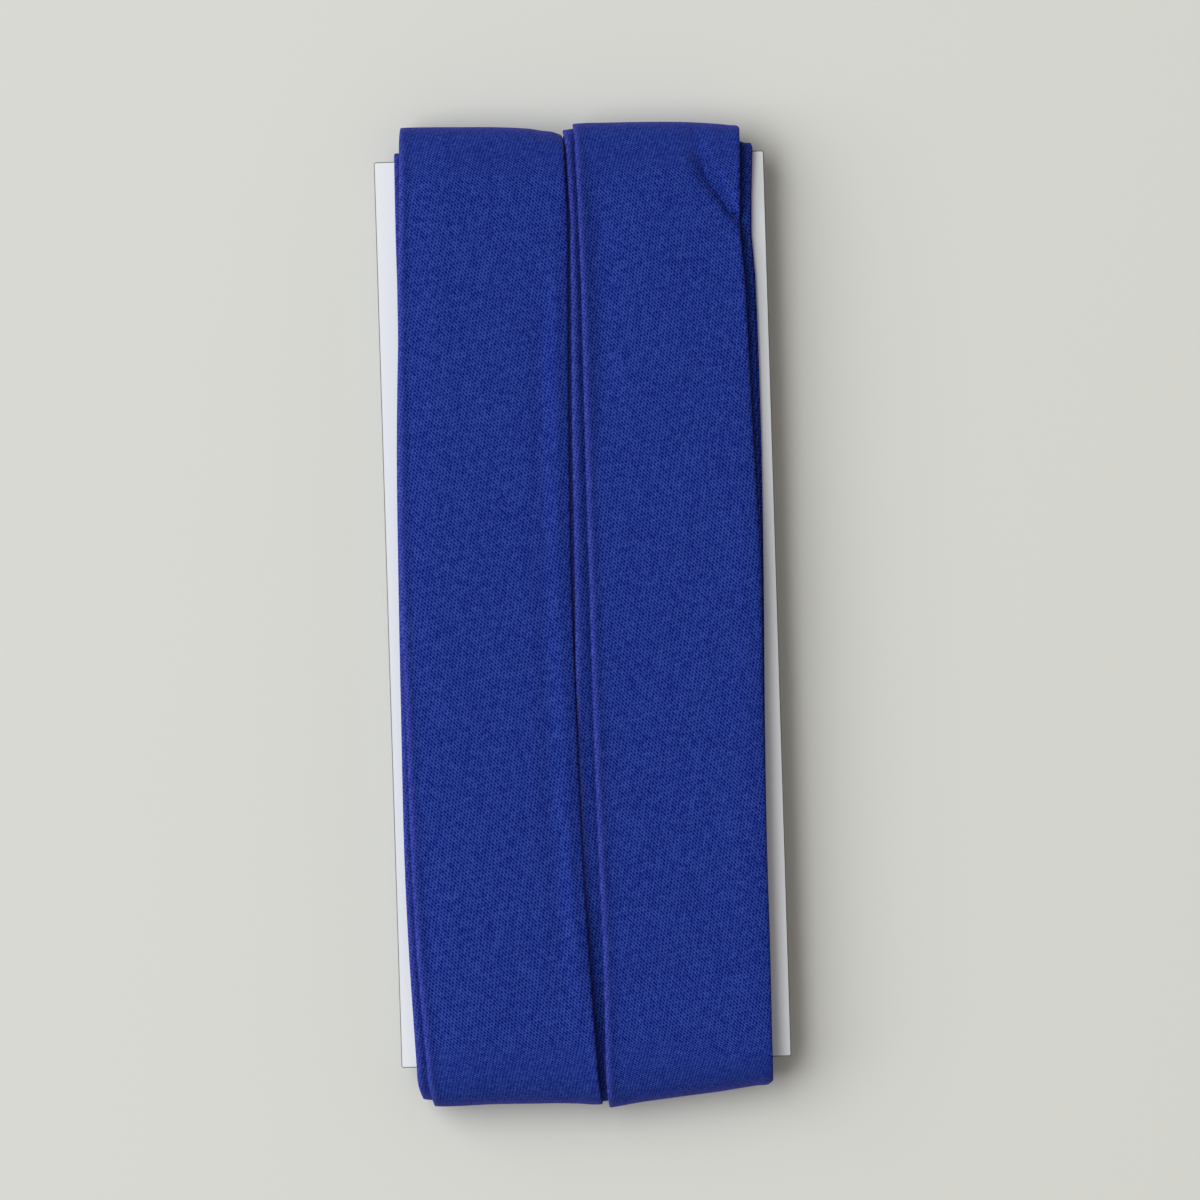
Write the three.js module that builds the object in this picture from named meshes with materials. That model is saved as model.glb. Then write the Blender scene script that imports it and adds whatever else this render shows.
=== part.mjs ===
import * as THREE from 'three';

// A card with folded bias tape wound lengthwise round it in two columns, lying on its back.
// Sizes are in millimetres. X runs across the card, Y along it, and Z up from the surface it lies on.

// Card
const CARD_WIDTH = 45.8;
const CARD_LENGTH = 106.4;
const CARD_THICKNESS = 0.9;

// Tape: one turn is the folded tape, two plies thick
const TURN_THICKNESS = 0.42;
const FRONT_TURNS = 7;
const BACK_TURNS = 8;
const EDGE_SOFTNESS = 0.14;
const CARD_CLEARANCE = 0.3;
const END_CLEARANCE = 0.5;

// Heights
const CARD_UNDERSIDE = BACK_TURNS * TURN_THICKNESS;
const CARD_TOP = CARD_UNDERSIDE + CARD_THICKNESS;
const CARD_MIDDLE = CARD_UNDERSIDE + CARD_THICKNESS / 2;
const FRONT_HEIGHT = CARD_TOP + FRONT_TURNS * TURN_THICKNESS;
const CARD_END = CARD_LENGTH / 2;

// Where the folded edges of the upper turns lie along the front, from the far end to the near one.
// Each column shows its top turn and the turn under it, and the right one a deep turn at its outer side.
const FRONT_EDGES = [
  { y: 53.2, underLeft: -20.5, left: [-19.9, -0.5], underRight: -0.1, right: [0.8, 20.3], outer: 21.6 },
  { y: 45.0, underLeft: -20.6, left: [-20.2, -0.4], underRight: 0.0, right: [0.9, 19.7], outer: 21.1 },
  { y: 38.0, underLeft: -20.8, left: [-20.5, -0.6], underRight: -0.2, right: [1.0, 20.2], outer: 21.5 },
  { y: 20.0, underLeft: -21.2, left: [-21.0, -1.0], underRight: -0.6, right: [0.9, 20.6], outer: 21.7 },
  { y: 4.0, underLeft: -21.5, left: [-21.3, -1.2], underRight: -0.8, right: [0.9, 21.2], outer: 21.6 },
  { y: -14.0, underLeft: -21.7, left: [-21.1, -1.1], underRight: -0.7, right: [0.9, 21.0], outer: 21.3 },
  { y: -28.0, underLeft: -21.8, left: [-21.0, -0.9], underRight: -0.5, right: [1.0, 20.9], outer: 21.2 },
  { y: -40.0, underLeft: -21.6, left: [-20.7, -0.5], underRight: -0.1, right: [1.2, 20.9], outer: 21.2 },
  { y: -53.2, underLeft: -21.1, left: [-19.9, 0.1], underRight: 0.5, right: [1.1, 20.8], outer: 21.1 },
];

// Where the columns' edges lie on the back: the tape crosses from the left column to the right one there
const BACK_EDGES = [
  { y: 53.2, left: [-20.6, -0.6], right: [1.0, 21.2] },
  { y: 0.0, left: [-21.5, -0.9], right: [1.0, 21.6] },
  { y: -53.2, left: [-21.0, -0.5], right: [1.0, 21.1] },
];

// How far the outermost loop stands past each end of the card, from the left edge to the right
const END_REACH = [
  { x: -21.8, far: 3.9, near: 4.4 },
  { x: -18.5, far: 4.0, near: 4.9 },
  { x: -4.0, far: 3.6, near: 5.1 },
  { x: -0.6, far: 2.9, near: 5.1 },
  { x: 1.0, far: 3.9, near: 5.5 },
  { x: 10.0, far: 3.8, near: 4.5 },
  { x: 17.0, far: 3.6, near: 3.6 },
  { x: 21.6, far: 2.4, near: 3.3 },
];

// Soft relief of the two top turns: a ridge or valley along the tape, by its place across the width
const RELIEF = [
  { column: 'left', across: 0.80, width: 0.05, height: -0.10, from: -50, to: 40 },
  { column: 'left', across: 0.93, width: 0.04, height: 0.12, from: -52, to: 42 },
  { column: 'right', across: 0.03, width: 0.03, height: 0.08, from: -52, to: 54 },
  { column: 'right', across: 0.14, width: 0.06, height: -0.16, from: 24, to: 54 },
];
const RELIEF_FADE = 8;

// The crease that turns the top right corner of the right column down a little. Its depth rises and
// fades along it: the shares of its length where it starts, is full, starts to fade and is gone.
const CREASE_START = new THREE.Vector2(14.3, 52.4);
const CREASE_END = new THREE.Vector2(19.5, 44.9);
const CREASE_DEPTH = 0.38;
const CREASE_HALF_WIDTH = 0.9;
const CREASE_FADE = { start: -0.15, full: 0.5, fading: 1.0, gone: 1.3 };

// Depths of the groove between the columns and of the turns that show at their sides, in turns
const FRONT_GROOVE = 3;
const BACK_GROOVE = 4;
const UNDER_DEPTH = 1;
const OUTER_DEPTH = 4;
const SOFT_DEPTH = EDGE_SOFTNESS / TURN_THICKNESS;

// The folded edges down each side of the winding: how far each is set in from the top one
const SIDE_FOLDS = [
  { left: 0.00, right: 0.00 },
  { left: 0.22, right: 0.30 },
  { left: 0.05, right: 0.12 },
  { left: 0.30, right: 0.24 },
];
const FOLD_GROOVE = 0.22;
const FOLD_MIDDLE = 0.65;

// Fineness of the mesh
const FRONT_STATIONS = [
  52.4, 50.9, 49.4, 47.9, 46.4, 44.9, 43.4, 41.0, 37.0, 31.0, 24.0, 16.0,
  8.0, 0.0, -8.0, -16.0, -24.0, -32.0, -39.0, -45.0, -50.0,
];
const BACK_STATIONS = [-46, -30, -14, 2, 18, 34, 46];
const END_STEPS = 12;
const ACROSS = [0.03, 0.08, 0.14, 0.24, 0.40, 0.58, 0.73, 0.80, 0.87, 0.93];

// Reads a named column of a table at a place between its rows
function read(table, key, name, at) {
  const rows = [...table].sort((a, b) => a[key] - b[key]);
  const place = THREE.MathUtils.clamp(at, rows[0][key], rows[rows.length - 1][key]);
  const upper = Math.max(1, rows.findIndex((row) => row[key] >= place));
  const before = rows[upper - 1];
  const after = rows[upper];
  const share = (place - before[key]) / (after[key] - before[key]);
  const mix = (a, b) => THREE.MathUtils.lerp(a, b, share);
  if (Array.isArray(before[name])) {
    return before[name].map((value, i) => mix(value, after[name][i]));
  }
  return mix(before[name], after[name]);
}

// The crease's place across the tape at a distance along it
function creaseAt(y) {
  const share = (CREASE_START.y - y) / (CREASE_START.y - CREASE_END.y);
  const held = THREE.MathUtils.clamp(share, 0, 1);
  return THREE.MathUtils.lerp(CREASE_START.x, CREASE_END.x, held);
}

// How far the front stands above or below its flat height at a point
function reliefAt(column, across, x, y) {
  let height = 0;
  for (const band of RELIEF.filter((row) => row.column === column)) {
    const inside = THREE.MathUtils.smoothstep(y, band.from, band.from + RELIEF_FADE)
      * (1 - THREE.MathUtils.smoothstep(y, band.to - RELIEF_FADE, band.to));
    height += band.height * inside * Math.exp(-(((across - band.across) / band.width) ** 2));
  }
  if (column === 'right') {
    const along = (CREASE_START.y - y) / (CREASE_START.y - CREASE_END.y);
    const inside = THREE.MathUtils.smoothstep(along, CREASE_FADE.start, CREASE_FADE.full)
      * (1 - THREE.MathUtils.smoothstep(along, CREASE_FADE.fading, CREASE_FADE.gone));
    const off = (x - creaseAt(y)) / CREASE_HALF_WIDTH;
    height -= CREASE_DEPTH * inside * Math.max(0, 1 - Math.abs(off));
  }
  return height;
}

// Points across one turn's face, from its left folded edge to its right one
function facePoints(column, edges, y, onFront) {
  const [left, right] = edges;
  const inner = [left + EDGE_SOFTNESS, right - EDGE_SOFTNESS];
  let places = ACROSS.map((share) => THREE.MathUtils.lerp(left, right, share));
  if (column === 'right' && onFront) {
    const crease = Math.min(creaseAt(y), right - 2 * EDGE_SOFTNESS);
    const beyond = Math.min(crease + CREASE_HALF_WIDTH, (crease + inner[1]) / 2);
    const folds = [crease - 2 * CREASE_HALF_WIDTH, crease - CREASE_HALF_WIDTH, crease, beyond];
    places = [...places.slice(0, -folds.length), ...folds];
  }
  return [inner[0], ...places, inner[1]].map((x) => {
    const across = (x - left) / (right - left);
    return { x, depth: 0, rise: onFront ? reliefAt(column, across, x, y) : 0 };
  });
}

// The rounded edge of a turn, from the wall of the winding up to its face. side is 1 at a left edge.
function roundEdge(x, side, depth, count) {
  return Array.from({ length: count }, (_, i) => {
    const angle = (Math.PI / 2) * (i / count);
    return {
      x: x + side * EDGE_SOFTNESS * (1 - Math.cos(angle)),
      depth: depth + SOFT_DEPTH * (1 - Math.sin(angle)),
    };
  });
}

// The outer wall of a column, from the card up to the edge of its highest turn there
function outerWall(column, x, topDepth, onFront) {
  const side = column === 'left' ? 1 : -1;
  const lowest = (onFront ? FRONT_TURNS : BACK_TURNS) - CARD_CLEARANCE / TURN_THICKNESS;
  const foldDepth = (lowest - topDepth) / SIDE_FOLDS.length;
  const points = [{ x: x + side * SIDE_FOLDS.at(-1)[column], depth: lowest }];
  for (let i = SIDE_FOLDS.length - 1; i > 0; i -= 1) {
    const inset = SIDE_FOLDS[i][column];
    const groove = Math.max(inset, SIDE_FOLDS[i - 1][column]) + FOLD_GROOVE;
    points.push({ x: x + side * inset, depth: topDepth + foldDepth * (i + FOLD_MIDDLE) });
    points.push({ x: x + side * groove, depth: topDepth + foldDepth * i });
  }
  points.push({ x, depth: topDepth + foldDepth * FOLD_MIDDLE });
  return points;
}

// The section of the winding on the front at a distance along it, from left to right over the top
function frontSection(y) {
  const at = (name) => read(FRONT_EDGES, 'y', name, y);
  const under = at('underLeft');
  const left = at('left');
  const underRight = at('underRight');
  const right = at('right');
  const outer = at('outer');
  return [
    ...outerWall('left', under, UNDER_DEPTH, true),
    { x: under, depth: UNDER_DEPTH + SOFT_DEPTH },
    { x: under + EDGE_SOFTNESS, depth: UNDER_DEPTH },
    { x: left[0], depth: UNDER_DEPTH },
    { x: left[0], depth: SOFT_DEPTH },
    ...facePoints('left', left, y, true),
    { x: left[1], depth: SOFT_DEPTH },
    { x: left[1], depth: FRONT_GROOVE },
    { x: underRight, depth: FRONT_GROOVE },
    { x: underRight, depth: UNDER_DEPTH + SOFT_DEPTH },
    { x: underRight + EDGE_SOFTNESS, depth: UNDER_DEPTH },
    { x: right[0], depth: UNDER_DEPTH },
    { x: right[0], depth: SOFT_DEPTH },
    ...facePoints('right', right, y, true),
    { x: right[1], depth: SOFT_DEPTH },
    { x: right[1], depth: OUTER_DEPTH },
    { x: outer - EDGE_SOFTNESS, depth: OUTER_DEPTH },
    { x: outer, depth: OUTER_DEPTH + SOFT_DEPTH },
    ...outerWall('right', outer, OUTER_DEPTH, true).reverse(),
  ];
}

// The section on the back: flat to lie on, with the crossing tape sloping down between the columns
function backSection(y) {
  const left = read(BACK_EDGES, 'y', 'left', y);
  const right = read(BACK_EDGES, 'y', 'right', y);
  return [
    ...outerWall('left', left[0], 0, false),
    ...roundEdge(left[0], 1, 0, 4),
    ...facePoints('left', left, y, false),
    { x: left[1], depth: SOFT_DEPTH },
    { x: right[0] - 2 * EDGE_SOFTNESS, depth: BACK_GROOVE - 1 },
    { x: right[0], depth: BACK_GROOVE },
    ...roundEdge(right[0], 1, 0, 4),
    ...facePoints('right', right, y, false),
    ...roundEdge(right[1], -1, 0, 4).reverse(),
    ...outerWall('right', right[1], 0, false).reverse(),
  ];
}

// Half height of the winding above or below the card's middle at a point of the section
function halfHeight(point, onFront) {
  const full = onFront ? FRONT_HEIGHT - CARD_MIDDLE : CARD_MIDDLE;
  return full - point.depth * TURN_THICKNESS + (point.rise ?? 0);
}

// A section's points on the flat front or back
function flatRing(section, y, onFront) {
  const side = onFront ? 1 : -1;
  return section.map((point) => [point.x, y, CARD_MIDDLE + side * halfHeight(point, onFront)]);
}

// The rings of one end: the loops turn from one face to the other round the end of the card
function endRings(isFar) {
  const side = isFar ? 1 : -1;
  const front = frontSection(side * CARD_END);
  const back = backSection(side * CARD_END);
  const rings = [];
  for (let step = 0; step <= END_STEPS; step += 1) {
    const turn = step / END_STEPS;
    const angle = Math.PI * turn;
    const share = THREE.MathUtils.smoothstep(turn, 0, 1);
    const fall = Math.cos(angle);
    rings.push(front.map((point, i) => {
      const x = THREE.MathUtils.lerp(point.x, back[i].x, share);
      const loop = read(END_REACH, 'x', isFar ? 'far' : 'near', x);
      const shallow = (part, turns) => 1 - part.depth / (turns - CARD_CLEARANCE / TURN_THICKNESS);
      const out = THREE.MathUtils.lerp(shallow(point, FRONT_TURNS), shallow(back[i], BACK_TURNS), share);
      const reach = THREE.MathUtils.lerp(END_CLEARANCE, loop, out);
      const height = fall >= 0 ? halfHeight(point, true) : halfHeight(back[i], false);
      return [x, side * (CARD_END + reach * Math.sin(angle)), CARD_MIDDLE + fall * height];
    }));
  }
  return isFar ? rings.reverse() : rings;
}

// A closed surface through rings that follow each other round the card
function ringSurface(rings) {
  const count = rings[0].length;
  const positions = rings.flat(2);
  const indices = [];
  rings.forEach((ring, i) => {
    const next = (i + 1) % rings.length;
    ring.forEach((_, j) => {
      const beside = (j + 1) % count;
      const a = i * count + j;
      const b = i * count + beside;
      const c = next * count + beside;
      const d = next * count + j;
      indices.push(a, d, b, b, d, c);
    });
  });
  const geometry = new THREE.BufferGeometry();
  geometry.setAttribute('position', new THREE.Float32BufferAttribute(positions, 3));
  geometry.setIndex(indices);
  geometry.computeVertexNormals();
  return geometry;
}

function makeCard() {
  const geometry = new THREE.BoxGeometry(CARD_WIDTH, CARD_LENGTH, CARD_THICKNESS);
  const material = new THREE.MeshStandardMaterial({ color: 0xe6e8ec, roughness: 0.6, metalness: 0 });
  const card = new THREE.Mesh(geometry, material);
  card.name = 'card';
  card.position.z = CARD_MIDDLE;
  return card;
}

function makeTape() {
  const rings = [
    ...FRONT_STATIONS.map((y) => flatRing(frontSection(y), y, true)),
    ...endRings(false),
    ...BACK_STATIONS.map((y) => flatRing(backSection(y), y, false)),
    ...endRings(true),
  ];
  const material = new THREE.MeshStandardMaterial({ color: 0x213282, roughness: 0.9, metalness: 0 });
  const tape = new THREE.Mesh(ringSurface(rings), material);
  tape.name = 'bias_tape';
  return tape;
}

// The origin lies under the middle of the whole object
const windingCentre = (Math.max(...END_REACH.map((row) => row.far))
  - Math.max(...END_REACH.map((row) => row.near))) / 2;
const model = new THREE.Group();
model.add(makeCard(), makeTape());
model.position.y = -windingCentre;

const root = new THREE.Group();
root.add(model);

export default root;
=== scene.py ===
"""A card of bias tape lying on a pale table: one folded strip wound lengthwise round a white board."""
import math
import random

import bpy
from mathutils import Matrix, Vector


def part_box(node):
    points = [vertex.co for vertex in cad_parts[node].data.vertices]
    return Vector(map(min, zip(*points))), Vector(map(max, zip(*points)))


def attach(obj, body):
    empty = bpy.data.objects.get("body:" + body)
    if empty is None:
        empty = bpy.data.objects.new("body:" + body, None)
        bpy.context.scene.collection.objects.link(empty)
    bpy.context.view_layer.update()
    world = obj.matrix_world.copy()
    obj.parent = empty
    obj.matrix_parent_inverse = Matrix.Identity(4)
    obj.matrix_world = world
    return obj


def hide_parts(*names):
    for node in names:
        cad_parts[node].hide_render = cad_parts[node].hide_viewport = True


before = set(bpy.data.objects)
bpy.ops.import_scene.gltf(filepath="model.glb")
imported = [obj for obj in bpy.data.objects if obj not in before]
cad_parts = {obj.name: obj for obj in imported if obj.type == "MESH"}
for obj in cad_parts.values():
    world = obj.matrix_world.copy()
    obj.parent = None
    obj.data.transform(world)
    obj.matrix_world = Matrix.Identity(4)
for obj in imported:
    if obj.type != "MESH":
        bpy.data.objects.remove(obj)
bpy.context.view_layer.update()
MM = 0.001

# Sizes, in millimetres

# The board, from the frame, with slightly worn corners and cut edges
CARD_LOW, CARD_HIGH = (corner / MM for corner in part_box("card"))
CARD_CENTRE = (CARD_LOW + CARD_HIGH) / 2
CARD_HALF_LENGTH = (CARD_HIGH.y - CARD_LOW.y) / 2
CARD_HALF_THICKNESS = (CARD_HIGH.z - CARD_LOW.z) / 2
CARD_CORNER = 0.25
CARD_SOFT_EDGE = 0.1
CORNER_STEPS = 4

# The tape: cut 40 wide, both raw edges turned in to meet near the middle of its back
TAPE_CUT = 40.0
PLY = 0.17
PLY_GAP = 0.03
RAW_EDGE_GAP = 0.4
FOLD_MIDDLE = (PLY + PLY_GAP) / 2
FOLD_OUTSIDE = FOLD_MIDDLE + PLY / 2

# One turn's thickness, and the number of turns in each column, counted up from the board
TURN = 0.42
TOP = 7

# Where the folded edges of the turns lie across the card on the front, from the far end to the
# near one. "top" and "second" are the two upper turns, "third" closes the slit between the columns
# underneath, "inner" is every other hidden turn, and "deep" and "deepest" are low turns that show
# past the outer edge of the top one.
LEFT_EDGES = [
    dict(y=53.2, top=(-19.9, -0.5), second=(-19.7, -0.6), third=(-19.7, -0.9), inner=(-19.6, -0.6),
         deep=(-20.5, -0.7)),
    dict(y=45.0, top=(-20.2, -0.4), second=(-20.1, -0.5), third=(-20.0, -0.9), inner=(-19.9, -0.6),
         deep=(-20.6, -0.8)),
    dict(y=38.0, top=(-20.5, -0.6), second=(-20.4, -0.7), third=(-20.2, -1.1), inner=(-20.2, -0.8),
         deep=(-20.6, -0.9)),
    dict(y=20.0, top=(-21.0, -1.0), second=(-21.2, -1.3), third=(-20.7, -1.5), inner=(-20.7, -1.1),
         deep=(-20.9, -1.2)),
    dict(y=4.0, top=(-21.3, -1.2), second=(-21.5, -1.6), third=(-21.0, -1.7), inner=(-21.0, -1.3),
         deep=(-21.0, -1.4)),
    dict(y=-14.0, top=(-21.1, -1.1), second=(-21.7, -1.8), third=(-20.9, -1.6), inner=(-20.9, -1.3),
         deep=(-20.9, -1.4)),
    dict(y=-28.0, top=(-21.0, -0.9), second=(-21.8, -1.9), third=(-20.8, -1.4), inner=(-20.8, -1.2),
         deep=(-20.8, -1.3)),
    dict(y=-40.0, top=(-20.7, -0.5), second=(-21.6, -1.7), third=(-20.5, -1.0), inner=(-20.5, -0.9),
         deep=(-20.5, -1.0)),
    dict(y=-53.2, top=(-19.9, 0.1), second=(-21.1, -1.2), third=(-19.9, -0.4), inner=(-19.9, -0.4),
         deep=(-20.1, -0.4)),
]
RIGHT_EDGES = [
    dict(y=53.2, top=(0.8, 20.1), second=(-0.3, 19.8), third=(-0.8, 19.4), inner=(0.3, 20.0),
         deep=(1.6, 21.5), deepest=(1.6, 21.6)),
    dict(y=47.8, top=(0.9, 19.93), second=(-0.1, 19.6), third=(-0.6, 19.3), inner=(0.0, 19.6),
         deep=(1.2, 21.1), deepest=(1.3, 21.3)),
    dict(y=45.0, top=(0.9, 19.83), second=(0.0, 19.5), third=(-0.6, 19.2), inner=(0.0, 19.4),
         deep=(1.1, 21.0), deepest=(1.2, 21.1)),
    dict(y=43.4, top=(0.95, 19.85), second=(-0.1, 19.5), third=(-0.7, 19.2), inner=(0.0, 19.5),
         deep=(1.1, 21.0), deepest=(1.2, 21.2)),
    dict(y=38.0, top=(1.0, 20.2), second=(-0.2, 19.7), third=(-0.8, 19.2), inner=(0.0, 19.7),
         deep=(1.3, 21.2), deepest=(1.5, 21.5)),
    dict(y=20.0, top=(0.9, 20.6), second=(-0.6, 19.6), third=(-1.2, 18.8), inner=(0.3, 20.0),
         deep=(1.3, 21.2), deepest=(1.6, 21.6)),
    dict(y=4.0, top=(0.9, 21.0), second=(-0.8, 19.4), third=(-1.4, 18.6), inner=(0.4, 20.2),
         deep=(1.1, 21.1), deepest=(1.3, 21.4)),
    dict(y=-14.0, top=(0.9, 20.8), second=(-1.2, 19.0), third=(-1.3, 18.7), inner=(0.4, 20.2),
         deep=(0.7, 20.6), deepest=(1.0, 21.0)),
    dict(y=-28.0, top=(1.0, 20.7), second=(-1.2, 19.0), third=(-1.1, 18.9), inner=(0.4, 20.2),
         deep=(0.5, 20.3), deepest=(0.7, 20.8)),
    dict(y=-40.0, top=(1.2, 20.7), second=(-0.95, 19.2), third=(-0.7, 19.3), inner=(0.4, 20.2),
         deep=(0.5, 20.3), deepest=(0.7, 20.8)),
    dict(y=-53.2, top=(1.1, 20.7), second=(-0.35, 19.8), third=(-0.1, 19.8), inner=(0.6, 20.3),
         deep=(0.6, 20.4), deepest=(0.8, 20.7)),
]
EDGE_TABLES = dict(left=LEFT_EDGES, right=RIGHT_EDGES)
# Which turn of each column each name above belongs to; every other one is "inner"
TURN_NAMES = dict(left={7: "top", 6: "second", 5: "third", 2: "deep"},
                  right={7: "top", 6: "second", 5: "third", 3: "deep", 2: "deepest"})

# The hidden turns wander: a whole turn moves in under the top one, and its edges sway on the way
TURN_SHIFT = 0.16
EDGE_SWAY = 0.06
SWAY_SEED = 31

# Where the outermost loops lie at the very ends of the winding, and how late, as a power, a loop
# takes on that place on its way round
LOOP_EDGES = {
    ("left", TOP, "far"): (-19.7, -0.7),
    ("left", TOP, "near"): (-19.2, 0.6),
    ("left", TOP - 1, "near"): (-20.5, -0.8),
    ("right", TOP, "far"): (0.55, 20.15),
    ("right", TOP - 1, "far"): (-0.65, 19.5),
    ("right", TOP - 2, "far"): (-0.6, 19.5),
    ("right", TOP, "near"): (1.35, 20.7),
}
LOOP_LEAN_POWER = 3

# How far the outermost loop stands past each end of the board, from the left edge to the right
END_REACH = {
    "left": [
        dict(x=-21.8, far=3.9, near=4.2),
        dict(x=-18.5, far=3.98, near=4.67),
        dict(x=-12.0, far=3.83, near=4.6),
        dict(x=-8.0, far=3.69, near=4.67),
        dict(x=-4.6, far=3.42, near=4.72),
        dict(x=-3.2, far=3.16, near=4.78),
        dict(x=-1.8, far=2.94, near=4.87),
        dict(x=-0.6, far=2.45, near=5.0),
    ],
    "right": [
        dict(x=-1.0, far=3.6, near=5.5),
        dict(x=1.0, far=3.85, near=5.47),
        dict(x=5.0, far=3.85, near=4.9),
        dict(x=10.0, far=3.78, near=4.36),
        dict(x=14.0, far=3.62, near=3.96),
        dict(x=17.0, far=3.37, near=3.57),
        dict(x=19.0, far=3.12, near=3.32),
        dict(x=20.0, far=2.95, near=3.28),
        dict(x=20.7, far=2.1, near=2.85),
    ],
}
# And how far the innermost one does
INNER_REACH = 0.03

# Soft troughs and ridges pressed along the tape: their place across it, how wide each spreads
# before and after that place, as shares of the width, and the stretch that they run along
RELIEF = [
    dict(column="left", highest=7, across=-0.08, before=0.10, after=0.20, height=-0.50, start=-62, end=62),
    dict(column="left", highest=7, across=0.84, before=0.06, after=0.035, height=-0.17, start=-50, end=42),
    dict(column="left", highest=7, across=0.93, before=0.035, after=0.03, height=0.13, start=-52, end=46),
    dict(column="left", highest=7, across=1.00, before=0.045, after=0.05, height=-0.22, start=-52, end=56),
    dict(column="right", highest=7, across=0.13, before=0.055, after=0.14, height=-0.28, start=16, end=56),
    dict(column="right", highest=7, across=1.00, before=0.06, after=0.10, height=-0.30, start=-60, end=36),
    dict(column="right", highest=6, across=0.04, before=0.20, after=0.12, height=-0.55, start=-70, end=-4),
    dict(column="right", highest=6, across=0.04, before=0.20, after=0.12, height=-0.60, start=-70, end=-30),
]
RELIEF_FADE = 12.0
# How the relief dies away down to the board, as a power of a turn's share of the height
RELIEF_POWER = 0.8

# Each folded edge stands a little proud of the middle: how high, how far in, and how wide each way
BEAD_LEFT = 0.27
BEAD_RIGHT = 0.07
BEAD_PLACE = 0.36
BEAD_RISE = 0.30
BEAD_FALL = 0.70

# How deep, and how wide, the folded edge of the turn above presses into a turn
PRESS_DEPTH = dict(left=0.1, right=0.26)
PRESS_WIDTH = 0.32

# The crease across the far right corner: a trough, wide and soft where it starts and sharp at its
# end. The cloth slopes down to it from the middle, and stands up steeply on the corner's side, where
# a low lip follows it. The fade is in shares of the way from its start to its end.
CREASE_START = Vector((16.1, 51.8))
CREASE_END = Vector((20.0, 44.9))
CREASE_DEPTH = 1.4
CREASE_LIP = 0.08
CREASE_LIP_PLACE = 2.0
CREASE_LIP_SPREAD = 0.8
CREASE_WIDTH_START = 1.3
CREASE_WIDTH_END = 0.7
CREASE_STEEP = 0.5
CREASE_FADE = dict(start=-0.42, full=0.23, fading=0.8, gone=1.25)

# Where the tape's two cut ends lie along the back, the first against the board and the last
# outside, and how far the last run's left and right edges drift on its way
FIRST_END = -48.0
LAST_END = 47.0
LAST_DRIFT = (0.2, 0.1)

# Where across the back the crossing run drops from the full left column to the board
CROSSING_DROP = dict(start=-0.75, end=0.95)

# The ribs of the weave close up along the tape where it bends round the board's ends
BEND_CLOSING = 1.8
BEND_FADE = 3.5

# The tape's length is measured along this share of its width, clear of the folds and the crease
MEASURED_ACROSS = 0.3

# Fineness across the seen ply, in steps of these shares up to each place
ACROSS_STEPS = [dict(up_to=0.12, step=0.012), dict(up_to=0.24, step=0.024), dict(up_to=0.60, step=0.06),
                dict(up_to=0.70, step=0.02), dict(up_to=1.0, step=0.0125)]
UNDER_STEPS = 6
ARC_STEPS = 4

# Rows along each front run by its name, along the crease down to a little past its end, along the
# loops and along the crossing run
FRONT_ROWS = dict(top=50, second=34, third=9, inner=9, deep=22, deepest=22)
CREASE_ROWS = dict(top=26, second=13)
CREASE_ROWS_PAST = 3.0
LOOP_ROWS = dict(seen=14, hidden=8)
CROSSING_ROWS = 28


def between(low, high, share):
    return low + (high - low) * share


def smooth(share):
    """A share held between 0 and 1, and eased at both ends."""
    held = min(1.0, max(0.0, share))
    return held * held * (3 - 2 * held)


def read(rows, key, column, at):
    """A table's column at a place between its rows, on a smooth curve through them."""
    rows = sorted(rows, key=lambda row: row[key])
    at = min(rows[-1][key], max(rows[0][key], at))
    i = max(j for j in range(len(rows) - 1) if rows[j][key] <= at)
    x0, x1 = rows[i][key], rows[i + 1][key]
    y0, y1 = rows[i][column], rows[i + 1][column]

    def slope(j):
        low, high = max(0, j - 1), min(len(rows) - 1, j + 1)
        return (rows[high][column] - rows[low][column]) / (rows[high][key] - rows[low][key])

    s = (at - x0) / (x1 - x0)
    return (y0 * (1 + 2 * s) * (1 - s) ** 2 + y1 * s * s * (3 - 2 * s)
            + (x1 - x0) * (slope(i) * s * (1 - s) ** 2 - slope(i + 1) * s * s * (1 - s)))


def turn_name(column, level):
    return TURN_NAMES[column].get(level, "inner")


def edge_rows(column, level):
    """One turn's two edges as a table down the front of the card."""
    name = turn_name(column, level)
    chance = random.Random(SWAY_SEED * level + len(column))
    shift = chance.uniform(-TURN_SHIFT, 0.0) if column == "right" else chance.uniform(0.0, TURN_SHIFT)
    rows = []
    for row in EDGE_TABLES[column]:
        move = shift + chance.uniform(-EDGE_SWAY, EDGE_SWAY) if name == "inner" else 0.0
        rows.append(dict(y=row["y"], left=row[name][0] + move, right=row[name][1] + move))
    return rows


EDGES = {(column, level): edge_rows(column, level)
         for column in EDGE_TABLES for level in range(1, TOP + 1)}


def edges_at(column, level, y):
    """Where one turn's two edges lie at a distance along the card."""
    rows = EDGES[column, level]
    return read(rows, "y", "left", y), read(rows, "y", "right", y)


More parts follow.
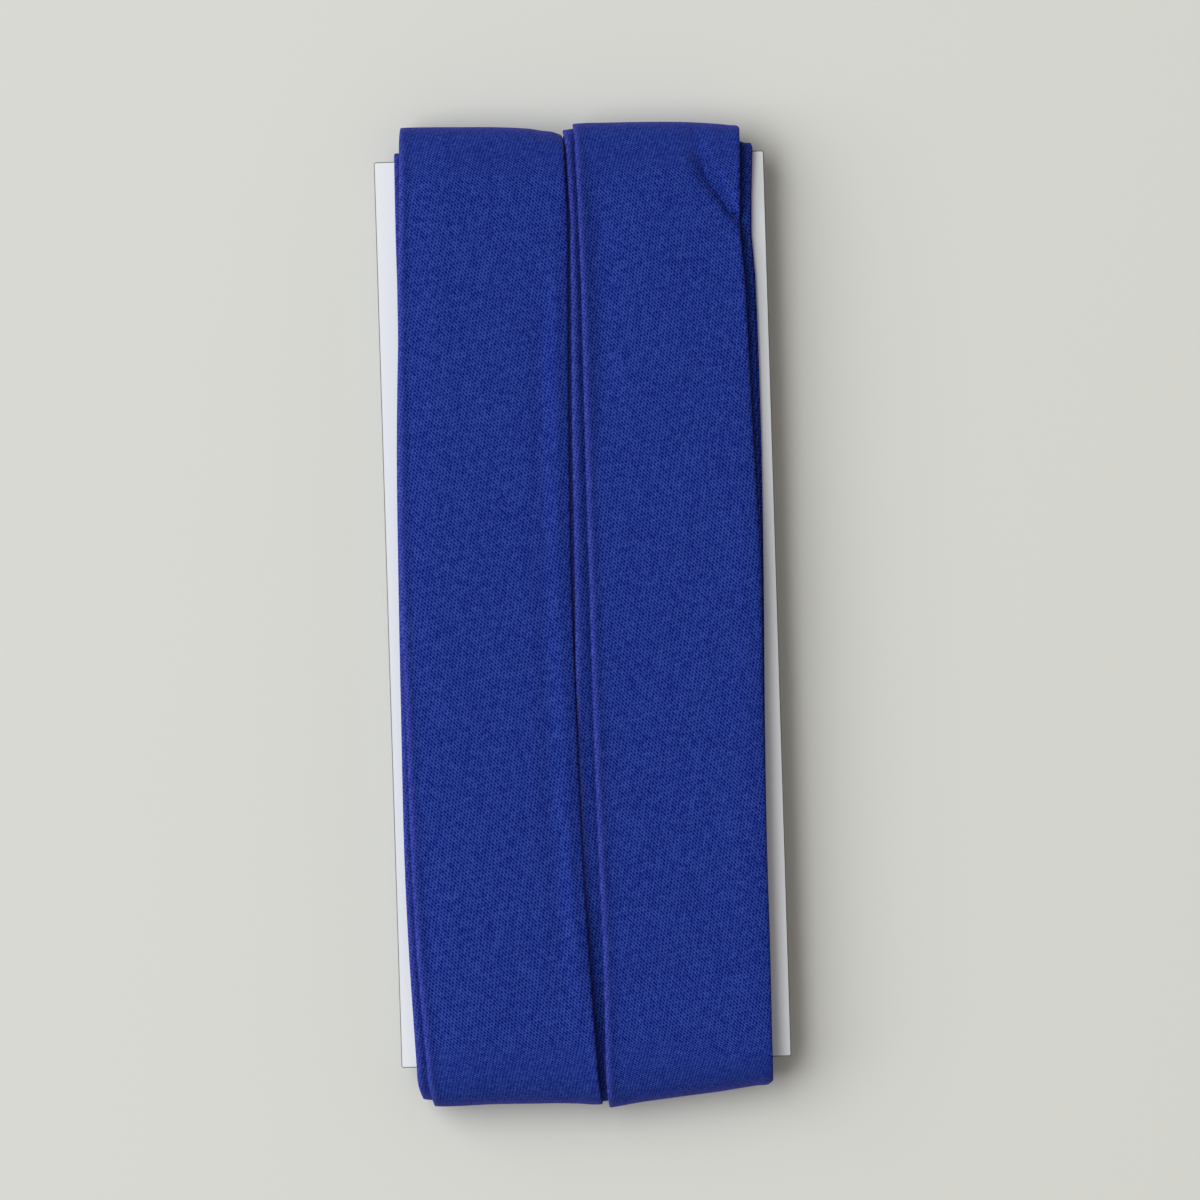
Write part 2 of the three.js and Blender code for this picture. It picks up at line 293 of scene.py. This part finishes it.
def crease_depth(x, y):
    """How far the crease presses the cloth down at a point."""
    along = (CREASE_START.y - y) / (CREASE_START.y - CREASE_END.y)
    start, full, fading, gone = CREASE_FADE.values()
    if not start < along < gone:
        return 0.0
    line = CREASE_END - CREASE_START
    aside = ((x - CREASE_START.x) * line.y - (y - CREASE_START.y) * line.x) / line.length
    width = between(CREASE_WIDTH_START, CREASE_WIDTH_END, smooth(along))
    if aside < 0:
        width *= CREASE_STEEP
    fade = smooth((along - start) / (full - start)) * (1 - smooth((along - fading) / (gone - fading)))
    trough = CREASE_DEPTH * math.exp(-(aside / width) ** 2)
    if aside < 0:
        trough -= CREASE_LIP * math.exp(-((-aside / width - CREASE_LIP_PLACE) / CREASE_LIP_SPREAD) ** 2)
    return fade * trough


def bead(from_edge):
    """The rounded swell just inside a folded edge, as a share of its full height."""
    spread = BEAD_RISE if from_edge < BEAD_PLACE else BEAD_FALL
    return math.exp(-((from_edge - BEAD_PLACE) / spread) ** 2)


def pressed(column, level, x, y):
    """How far the edges of the turn above press the cloth down at a point."""
    if level == TOP:
        return 0.0
    left, right = edges_at(column, level + 1, y)
    outside = min(abs(x - left), abs(x - right))
    return PRESS_DEPTH[column] * math.exp(-(outside / PRESS_WIDTH) ** 2)


def relief(column, level, edges, x, y):
    """How far the cloth of a front turn stands above or below its flat height."""
    left, right = edges
    across = (x - left) / (right - left)
    height = BEAD_LEFT * bead(x - left) + BEAD_RIGHT * bead(right - x)
    for band in RELIEF:
        if band["column"] == column and level <= band["highest"]:
            fade = smooth((y - band["start"]) / RELIEF_FADE) * smooth((band["end"] - y) / RELIEF_FADE)
            spread = band["before"] if across < band["across"] else band["after"]
            height += band["height"] * fade * math.exp(-((across - band["across"]) / spread) ** 2)
    if column == "right":
        height -= crease_depth(x, y)
    return height * ((level - 0.5) / (TOP - 0.5)) ** RELIEF_POWER - pressed(column, level, x, y)


def shares_across():
    """The places of the points across the seen ply, as shares of its width."""
    shares = [0.0]
    for band in ACROSS_STEPS:
        start = shares[-1]
        count = round((band["up_to"] - start) / band["step"])
        shares += [between(start, band["up_to"], (i + 1) / count) for i in range(count)]
    return shares


def fold_section():
    """The middle line of the folded cloth: the share across, a step sideways, the height, and the
    way that the cloth's outside faces there."""
    points = []
    raw = 0.5 - RAW_EDGE_GAP / TAPE_CUT
    for i in range(UNDER_STEPS):
        points.append((between(raw, 0, i / UNDER_STEPS), 0, -FOLD_MIDDLE, (0, -1)))
    for i in range(ARC_STEPS):
        angle = math.pi * i / ARC_STEPS
        way = (-math.sin(angle), -math.cos(angle))
        points.append((0, way[0] * FOLD_MIDDLE, way[1] * FOLD_MIDDLE, way))
    points += [(share, 0, FOLD_MIDDLE, (0, 1)) for share in shares_across()]
    mirrored = [(1 - share, -step, height, (-way[0], way[1]))
                for share, step, height, way in points[:UNDER_STEPS + ARC_STEPS]]
    return points + mirrored[::-1]


def surface_ring(section):
    """The section's outside and then its inside, as one closed ring of points."""
    ring = []
    for side in (1, -1):
        points = section if side == 1 else section[::-1]
        for share, step, height, way in points:
            ring.append((share, step + side * way[0] * PLY / 2, height + side * way[1] * PLY / 2))
    return ring


SECTION = fold_section()
RING = surface_ring(SECTION)


def front_rows(column, level):
    """Places along one front run, closer together by the crease."""
    name = turn_name(column, level)
    count = FRONT_ROWS[name]
    places = [between(CARD_HALF_LENGTH, -CARD_HALF_LENGTH, i / count) for i in range(count + 1)]
    if column == "right" and name in CREASE_ROWS:
        low = CREASE_END.y - CREASE_ROWS_PAST
        rest = [y for y in places if y < low]
        fine = CREASE_ROWS[name]
        places = [between(CARD_HALF_LENGTH, low, i / fine) for i in range(fine + 1)] + rest
    return places


def winding_path():
    """Every row of the tape in order, from its first end against the board to its last one."""
    rows = []
    for column in EDGE_TABLES:
        for level in range(1, TOP + 1):
            if column == "right" and level == 1:
                rows += crossing_rows()
            else:
                rows += back_rows(column, level)
            rows += loop_rows(column, "far", level, level)
            rows += [dict(kind="front", column=column, level=level, y=y, edges=edges_at(column, level, y))
                     for y in front_rows(column, level)]
            rows += loop_rows(column, "near", level, level + 1)
    return rows + last_rows()


def back_places(first, last):
    """Places along one run of the back, with a row where each bend lets go of the weave."""
    inside = (BEND_FADE - CARD_HALF_LENGTH, 0, CARD_HALF_LENGTH - BEND_FADE)
    return [first] + [y for y in inside if first < y < last] + [last]


def back_rows(column, level):
    """A run along the back, from the near end to the far one."""
    end = edges_at(column, level, CARD_HALF_LENGTH)
    start = edges_at(column, max(1, level - 1), -CARD_HALF_LENGTH)
    first = FIRST_END if (column, level) == ("left", 1) else -CARD_HALF_LENGTH
    rows = []
    for y in back_places(first, CARD_HALF_LENGTH):
        share = (y + CARD_HALF_LENGTH) / (2 * CARD_HALF_LENGTH)
        edges = tuple(between(a, b, share) for a, b in zip(start, end))
        rows.append(dict(kind="back", level=level, y=y, edges=edges))
    return rows


def crossing_rows():
    """The run along the back that crosses from the full left column to the bare right of the board."""
    start = LOOP_EDGES["left", TOP, "near"]
    end = edges_at("right", 1, CARD_HALF_LENGTH)
    rows = []
    for i in range(CROSSING_ROWS + 1):
        share = i / CROSSING_ROWS
        y = between(-CARD_HALF_LENGTH, CARD_HALF_LENGTH, share)
        edges = tuple(between(a, b, share) for a, b in zip(start, end))
        rows.append(dict(kind="crossing", level=TOP + 1, y=y, edges=edges))
    return rows


def last_rows():
    """The outermost run along the back, which ends in a plain cut short of the far end."""
    start = edges_at("right", TOP, -CARD_HALF_LENGTH)
    rows = []
    for y in back_places(-CARD_HALF_LENGTH, LAST_END):
        share = (y + CARD_HALF_LENGTH) / (LAST_END + CARD_HALF_LENGTH)
        edges = tuple(edge + drift * share for edge, drift in zip(start, LAST_DRIFT))
        rows.append(dict(kind="back", level=TOP + 1, y=y, edges=edges))
    return rows


def loop_rows(column, end, front_level, back_level):
    """A loop round one end of the card, without the rows it shares with the runs beside it."""
    count = LOOP_ROWS["seen" if front_level >= TOP - 1 else "hidden"]
    side = 1 if end == "far" else -1
    front = edges_at(column, front_level, side * CARD_HALF_LENGTH)
    middle = LOOP_EDGES.get((column, front_level, end), front)
    rows = []
    for i in range(1, count):
        turn = i / count
        share = 1 - turn if end == "far" else turn
        lean = math.sin(math.pi * share) ** LOOP_LEAN_POWER
        if (column, front_level, end) == ("left", TOP, "near"):
            # this loop leads on to the crossing run, so it keeps its place once it has it
            lean = smooth(2 * share)
        edges = tuple(between(a, b, lean) for a, b in zip(front, middle))
        rows.append(dict(kind="loop", end=end, side=side, column=column, angle=math.pi * share,
                         front=front_level, back=back_level, edges=edges))
    return rows


def crossing_height(x):
    """The crossing run lies on the full left column and drops to the board between the columns."""
    start, end = CROSSING_DROP.values()
    return between(TOP + 1, 1, smooth((x - start) / (end - start)))


def place(row, share, step, height):
    """Where a point of the folded section lies, in the card's own frame."""
    left, right = row["edges"]
    x = between(left + FOLD_OUTSIDE, right - FOLD_OUTSIDE, share) + step
    if row["kind"] == "loop":
        return loop_place(row, x, height)
    if row["kind"] == "front":
        rise = relief(row["column"], row["level"], row["edges"], x, row["y"])
        z = CARD_HALF_THICKNESS + (row["level"] - 0.5) * TURN + rise + height
        return x, row["y"], z
    level = crossing_height(x) if row["kind"] == "crossing" else row["level"]
    return x, row["y"], -(CARD_HALF_THICKNESS + (level - 0.5) * TURN + height)


def loop_place(row, x, height):
    """A point on a loop: half an ellipse round the end of the board, the cloth square to it."""
    outermost = read(END_REACH[row["column"]], "x", row["end"], x) - 2 * FOLD_OUTSIDE
    reach = between(INNER_REACH, outermost, (row["front"] - 1) / (TOP - 1)) + FOLD_OUTSIDE
    falling, along = math.cos(row["angle"]), math.sin(row["angle"])
    if falling >= 0:
        rise = relief(row["column"], row["front"], row["edges"], x, row["side"] * CARD_HALF_LENGTH)
        half = CARD_HALF_THICKNESS + (row["front"] - 0.5) * TURN + rise
    else:
        half = CARD_HALF_THICKNESS + (row["back"] - 0.5) * TURN
    facing = Vector((half * along, reach * falling)).normalized()
    y = row["side"] * (CARD_HALF_LENGTH + reach * along + height * facing.x)
    return x, y, half * falling + height * facing.y


def closing(row):
    """How close together the weave's ribs lie at a row, against the flat cloth."""
    if row["kind"] == "loop":
        return BEND_CLOSING
    return between(BEND_CLOSING, 1, smooth((CARD_HALF_LENGTH - abs(row["y"])) / BEND_FADE))


def cloth_lengths(rows, share_of=lambda row: 1.0):
    """How far along the tape each row lies, with each step multiplied by the rows' own share."""
    lengths = [0.0]
    for before, row in zip(rows, rows[1:]):
        step = Vector(place(row, MEASURED_ACROSS, 0, 0)) - Vector(place(before, MEASURED_ACROSS, 0, 0))
        lengths.append(lengths[-1] + step.length * (share_of(before) + share_of(row)) / 2)
    return lengths


def across_lengths():
    """How far across the flat cloth each point of the ring lies, from its left raw edge."""
    flat, total, before = [], 0.0, None
    for share, step, height, _ in SECTION:
        here = Vector((share * (TAPE_CUT / 2 - 2 * FOLD_OUTSIDE) + step, height))
        if before is not None:
            total += (here - before).length
        flat.append(total)
        before = here
    return flat + flat[::-1]


def from_card(points):
    """Points in the card's own frame, in millimetres, as points of the shared frame in metres."""
    return [((x + CARD_CENTRE.x) * MM, (y + CARD_CENTRE.y) * MM, (z + CARD_CENTRE.z) * MM)
            for x, y, z in points]


def ring_faces(rings, count):
    """The faces between rings of so many points that follow each other."""
    faces = []
    for i in range(rings - 1):
        for j in range(count):
            k = (j + 1) % count
            faces.append((i * count + j, i * count + k, (i + 1) * count + k, (i + 1) * count + j))
    return faces


def new_mesh(name, points, faces):
    """A mesh of these faces, its points in metres."""
    mesh = bpy.data.meshes.new(name)
    mesh.from_pydata(points, [], faces)
    return mesh


def new_object(name, data):
    """A new object in the scene, of a mesh, a lamp or a camera."""
    thing = bpy.data.objects.new(name, data)
    bpy.context.scene.collection.objects.link(thing)
    return thing


def wind_tape():
    """The whole tape as one closed thin sheet, and its length in millimetres."""
    rows = winding_path()
    count = len(RING)
    faces = ring_faces(len(rows), count)
    for base, turned in ((0, False), ((len(rows) - 1) * count, True)):
        for j in range(count // 2 - 1):
            end = (base + j, base + count - 1 - j, base + count - 2 - j, base + j + 1)
            faces.append(end[::-1] if turned else end)
    points = [place(row, *point) for row in rows for point in RING]
    mesh = new_mesh("bias_tape_cloth", from_card(points), faces)
    weave_lengths, flat = cloth_lengths(rows, closing), across_lengths()
    weave = mesh.uv_layers.new(name="weave")
    for loop in mesh.loops:
        row, point = divmod(loop.vertex_index, count)
        weave.data[loop.index].uv = (flat[point] * MM, weave_lengths[row] * MM)
    mesh.shade_smooth()
    return new_object("bias_tape_cloth", mesh), cloth_lengths(rows)[-1]


def board_outline(inset):
    """The board's outline with slightly worn corners."""
    half_width = (CARD_HIGH.x - CARD_LOW.x) / 2 - inset
    half_length = CARD_HALF_LENGTH - inset
    radius = CARD_CORNER - inset
    points = []
    for quarter, (sx, sy) in enumerate([(1, 1), (-1, 1), (-1, -1), (1, -1)]):
        for i in range(CORNER_STEPS + 1):
            angle = math.pi / 2 * (quarter + i / CORNER_STEPS)
            points.append((sx * (half_width - radius) + radius * math.cos(angle),
                           sy * (half_length - radius) + radius * math.sin(angle)))
    return points


def cut_board():
    """The board as a closed solid, its cut edges a little softened."""
    top = CARD_HALF_THICKNESS
    levels = [dict(inset=CARD_SOFT_EDGE, z=-top), dict(inset=0, z=CARD_SOFT_EDGE - top),
              dict(inset=0, z=top - CARD_SOFT_EDGE), dict(inset=CARD_SOFT_EDGE, z=top)]
    points = [(x, y, level["z"]) for level in levels for x, y in board_outline(level["inset"])]
    count = len(points) // len(levels)
    sides = ring_faces(len(levels), count)
    back = tuple(range(count))[::-1]
    front = tuple(range(len(points) - count, len(points)))
    mesh = new_mesh("board", from_card(points), [*sides, back, front])
    for face in mesh.polygons[:len(sides)]:
        face.material_index = 1
    return new_object("board", mesh)


def linear(hex_colour):
    """A colour written as sRGB hex, in linear values."""
    parts = [int(hex_colour[i:i + 2], 16) / 255 for i in (1, 3, 5)]
    return (*[p / 12.92 if p <= 0.04045 else ((p + 0.055) / 1.055) ** 2.4 for p in parts], 1.0)


def fill(tree, node, **inputs):
    """Gives a node its inputs, as values or as links from other sockets. An input is named by its
    label, or by a number after in_ where the label is shared."""
    for name, value in inputs.items():
        socket = node.inputs[int(name[3:]) if name.startswith("in_") else name.replace("_", " ")]
        if isinstance(value, bpy.types.NodeSocket):
            tree.links.new(value, socket)
        else:
            socket.default_value = value


def add(tree, kind, settings=None, **inputs):
    """Adds a node with its settings and its inputs."""
    node = tree.nodes.new("ShaderNode" + kind)
    for name, value in (settings or {}).items():
        setattr(node, name, value)
    fill(tree, node, **inputs)
    return node


def new_material(name, **inputs):
    """A named material whose main shader has these inputs, with its nodes and that shader."""
    material = bpy.data.materials.new(name)
    material.use_nodes = True
    shader = material.node_tree.nodes["Principled BSDF"]
    fill(material.node_tree, shader, **inputs)
    return material, material.node_tree, shader


def arithmetic(tree, operation, first, second=0.0):
    """One step of arithmetic on two sockets or values."""
    return add(tree, "Math", dict(operation=operation), in_0=first, in_1=second).outputs[0]


def wave(tree, shape, thread, speed):
    """A sine or cosine along a count of threads, with so many radians to each."""
    return arithmetic(tree, shape, arithmetic(tree, "MULTIPLY", thread, speed))


def multiply_add(tree, first, second, third):
    """first times second, plus third."""
    return add(tree, "Math", dict(operation="MULTIPLY_ADD"), in_0=first, in_1=second, in_2=third).outputs[0]


# Plain weave, cut on the bias: the fine warp runs one way and the thicker weft across it, at the
# real pitches of 110 warp and 76 weft threads to the inch. Yarns wander from straight by the drift.
WARP_PITCH = 0.231
WEFT_PITCH = 0.334
YARN_DRIFT = 0.05
DRIFTS_PER_METRE = 2500.0

# Light and shade in the weave: an even level, the crown of each rib, the two sides of a crossing,
# each crossing's own dye, the thick and thin of each yarn, and the cloudy dye of the whole cloth
SHADES = dict(level=0.21, rib=0.19, over=-0.135, under=0.07, crossing=0.26, slub=0.24, cloud=0.10)
SLUBS_PER_WARP = 0.35
SLUB_ROW_STEP = 7.3
CLOUDS_PER_METRE = 800.0
# The colour ramp from the dye in painted shade to the dye in painted light, at places along the weave's
# light value
DYE_SHADE_TO_LIGHT = [dict(at=0.0, colour="#00065E"), dict(at=0.35, colour="#031F7B"), dict(at=1.0, colour="#3F56B0")]

# Height of the yarns, and how much of it the crossings have against the ribs
YARN_HEIGHT = 0.02
CROSSING_HEIGHT = 0.25

# The left fold's place across the flat cloth, and how far in from it the cloth is painted lighter: a
# painted highlight for the sheen on the folded edge that faces the lamp
LEFT_FOLD = across_lengths()[UNDER_STEPS + ARC_STEPS // 2]
FOLD_HIGHLIGHT_WIDTH = 1.0
FOLD_HIGHLIGHT_SHARE = 0.13
FOLD_HIGHLIGHT_COLOUR = "#6A60C4"


def cotton_material():
    """Plain-woven cotton broadcloth, dyed ultramarine and pressed: matt, with fine diagonal ribs of rounded
    yarn, a pit at every second crossing, and a faint bloom of fibre. Painted light on the ribs' crowns, and
    painted shade in the pits and on the shaded sides of the crossings, are in the colour as well as in the
    bump."""
    material, tree, shader = new_material(
        "plain woven cotton, piece-dyed ultramarine, bias cut", Roughness=0.9, IOR=1.45,
        Specular_IOR_Level=0.12, Sheen_Weight=0.28, Sheen_Roughness=0.28, Sheen_Tint=linear("#A888F0"))
    uv = add(tree, "UVMap", dict(uv_map="weave"))
    parts = add(tree, "SeparateXYZ", Vector=uv.outputs["UV"])
    # yarns wander a little from straight
    drift = add(tree, "TexNoise", Vector=uv.outputs["UV"], Scale=DRIFTS_PER_METRE, Detail=2.0)
    sway = multiply_add(tree, drift.outputs["Fac"], 2 * YARN_DRIFT * MM, -YARN_DRIFT * MM)
    u = arithmetic(tree, "ADD", parts.outputs["X"], sway)
    v = arithmetic(tree, "SUBTRACT", parts.outputs["Y"], sway)
    to_threads = 1 / math.sqrt(2) / MM
    warp = arithmetic(tree, "MULTIPLY", arithmetic(tree, "ADD", u, v), to_threads / WARP_PITCH)
    weft = arithmetic(tree, "MULTIPLY", arithmetic(tree, "SUBTRACT", u, v), to_threads / WEFT_PITCH)
    # ribs of weft, and the crowns and pits where warp and weft change places; their light and shade are
    # painted into the colour here, and bumped below
    rib = wave(tree, "COSINE", weft, 2 * math.pi)
    over = wave(tree, "SINE", arithmetic(tree, "ADD", warp, weft), math.pi)
    under = wave(tree, "SINE", arithmetic(tree, "SUBTRACT", warp, weft), math.pi)
    light = multiply_add(tree, rib, SHADES["rib"], SHADES["level"])
    light = multiply_add(tree, over, SHADES["over"], light)
    light = multiply_add(tree, under, SHADES["under"], light)
    # every crossing takes the dye a little differently, and so does the cloth from place to place
    crossing = add(tree, "CombineXYZ", X=arithmetic(tree, "FLOOR", warp), Y=arithmetic(tree, "FLOOR", weft))
    chance = add(tree, "TexWhiteNoise", dict(noise_dimensions="2D"), Vector=crossing.outputs[0])
    light = multiply_add(tree, chance.outputs["Value"], SHADES["crossing"], light)
    # each rib of yarn is thick and thin along its length
    yarn = add(tree, "CombineXYZ", X=arithmetic(tree, "MULTIPLY", warp, SLUBS_PER_WARP),
               Y=arithmetic(tree, "MULTIPLY", arithmetic(tree, "FLOOR", weft), SLUB_ROW_STEP))
    slub = add(tree, "TexNoise", Vector=yarn.outputs[0], Scale=1.0, Detail=0.0)
    light = multiply_add(tree, slub.outputs["Fac"], SHADES["slub"], light)
    cloud = add(tree, "TexNoise", Vector=uv.outputs["UV"], Scale=CLOUDS_PER_METRE, Detail=3.0)
    # the ramp turns this into colour: the dye in painted shade at the low end and in painted light at the
    # high end, with the dye's own random tone from the crossings, the yarn and the clouds
    dyed = add(tree, "ValToRGB", Fac=multiply_add(tree, cloud.outputs["Fac"], SHADES["cloud"], light))
    stops = dyed.color_ramp.elements
    stops.new(DYE_SHADE_TO_LIGHT[1]["at"])
    for stop, dye in zip(stops, DYE_SHADE_TO_LIGHT):
        stop.position, stop.color = dye["at"], linear(dye["colour"])
    # painted highlight: the fold along the left edge, which faces the lamp, is painted a little lighter for
    # the sheen on it
    fold_highlight_mask = add(tree, "MapRange", dict(interpolation_type="SMOOTHSTEP"), Value=parts.outputs["X"],
                 From_Min=LEFT_FOLD * MM, From_Max=(LEFT_FOLD + FOLD_HIGHLIGHT_WIDTH) * MM,
                 To_Min=FOLD_HIGHLIGHT_SHARE, To_Max=0.0)
    dye_with_fold_highlight = add(tree, "Mix", dict(data_type="RGBA"), in_0=fold_highlight_mask.outputs["Result"],
                in_6=dyed.outputs["Color"], in_7=linear(FOLD_HIGHLIGHT_COLOUR))
    height = multiply_add(tree, arithmetic(tree, "SUBTRACT", under, over), CROSSING_HEIGHT, rib)
    bump = add(tree, "Bump", Height=height, Strength=1.0, Distance=YARN_HEIGHT * MM)
    fill(tree, shader, Base_Color=dye_with_fold_highlight.outputs[2], Normal=bump.outputs["Normal"])
    return material


# The board's grain: how many to its width, and their height
BOARD_GRAINS = 900.0
BOARD_GRAIN_HEIGHT = 0.01


def coated_board_material():
    """White clay-coated board, calendered: a clean cool white with a soft satin shine."""
    material, tree, shader = new_material(
        "white clay-coated board, calendered", Base_Color=linear("#F2F3F8"), Roughness=0.45, IOR=1.5)
    # a trace of grain under the coating
    grain = add(tree, "TexNoise", Scale=BOARD_GRAINS, Detail=2.0)
    bump = add(tree, "Bump", Height=grain.outputs["Fac"], Strength=0.08, Distance=BOARD_GRAIN_HEIGHT * MM)
    fill(tree, shader, Normal=bump.outputs["Normal"])
    return material


def cut_board_material():
    """The board's die-cut edge: bare grey pulp, a thin dull line round the white."""
    return new_material("grey board pulp, die-cut edge", Base_Color=linear("#6E6C67"),
                        Roughness=0.9, IOR=1.45)[0]


def table_material():
    """Pale painted table top, matt: an even light grey with no shine of its own."""
    return new_material("pale grey table top, matt paint", Base_Color=linear("#DFDED9"),
                        Roughness=0.8, IOR=1.45)[0]


# Half the table top's width in metres, and how many millimetres it lies below the cloth
TABLE_HALF = 1.5
TABLE_GAP = 0.02

# The picture: millimetres across at the height of the top turn, its centre on the card, and how far
# it is turned. The long lens sees the card almost without perspective, as in the photo.
PICTURE_WIDTH = 140.75
PICTURE_TURN = math.radians(1.76)
PICTURE_CENTRE = Vector((2.08, 1.02))
LENS = 600.0
SENSOR = 36.0
NEAREST_SEEN = 0.01

# The soft light, in metres and watts, and the even light of the room
LAMP_DISTANCE = 2.5
LAMP_WIDTH = 3.2
LAMP_LENGTH = 2.9
LAMP_POWER = 85.0
LAMP_COLOUR = "#F5FAFB"
LAMP_ELEVATION = math.radians(45)
LAMP_TURN = math.radians(14)
ROOM_COLOUR = "#FBF6EC"
ROOM_STRENGTH = 0.32


def lay_table():
    """A plain pale table top under the card."""
    corners = [(x * TABLE_HALF, y * TABLE_HALF, 0) for x, y in ((-1, -1), (1, -1), (1, 1), (-1, 1))]
    table = new_object("table_top", new_mesh("table_top", corners, [(0, 1, 2, 3)]))
    table.location.z = -TABLE_GAP * MM
    table.data.materials.append(table_material())


def set_light():
    """One large soft light from the left and a little from the far side, and a pale even room."""
    level, rise = math.cos(LAMP_ELEVATION), math.sin(LAMP_ELEVATION)
    way = Vector((-level * math.cos(LAMP_TURN), level * math.sin(LAMP_TURN), rise))
    data = bpy.data.lights.new("soft_window", "AREA")
    data.shape = "RECTANGLE"
    data.size = LAMP_WIDTH
    data.size_y = LAMP_LENGTH
    data.energy = LAMP_POWER
    data.color = linear(LAMP_COLOUR)[:3]
    lamp = new_object("soft_window", data)
    lamp.location = way * LAMP_DISTANCE
    lamp.rotation_euler = way.to_track_quat("Z", "Y").to_euler()
    room = bpy.data.worlds.new("pale_room")
    room.use_nodes = True
    fill(room.node_tree, room.node_tree.nodes["Background"],
         Color=linear(ROOM_COLOUR), Strength=ROOM_STRENGTH)
    bpy.context.scene.world = room


def set_camera():
    """Straight above the picture's centre, turned as the card lies in it."""
    top = CARD_CENTRE.z + CARD_HALF_THICKNESS + TOP * TURN
    data = bpy.data.cameras.new("camera")
    data.lens = LENS
    data.sensor_width = SENSOR
    data.clip_start = NEAREST_SEEN
    camera = new_object("camera", data)
    camera.location = (PICTURE_CENTRE.x * MM, (PICTURE_CENTRE.y + CARD_CENTRE.y) * MM,
                       (top + PICTURE_WIDTH * LENS / SENSOR) * MM)
    camera.rotation_euler = (0, 0, -PICTURE_TURN)
    bpy.context.scene.camera = camera
    bpy.context.scene.view_settings.view_transform = "Standard"


tape, tape_length = wind_tape()
tape.data.materials.append(cotton_material())
board = cut_board()
board.data.materials.append(coated_board_material())
board.data.materials.append(cut_board_material())
for piece, node, finish in ((tape, "bias_tape", "tape_cloth"), (board, "card", "board")):
    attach(piece, "root")
    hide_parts(node)
lay_table()
set_light()
set_camera()
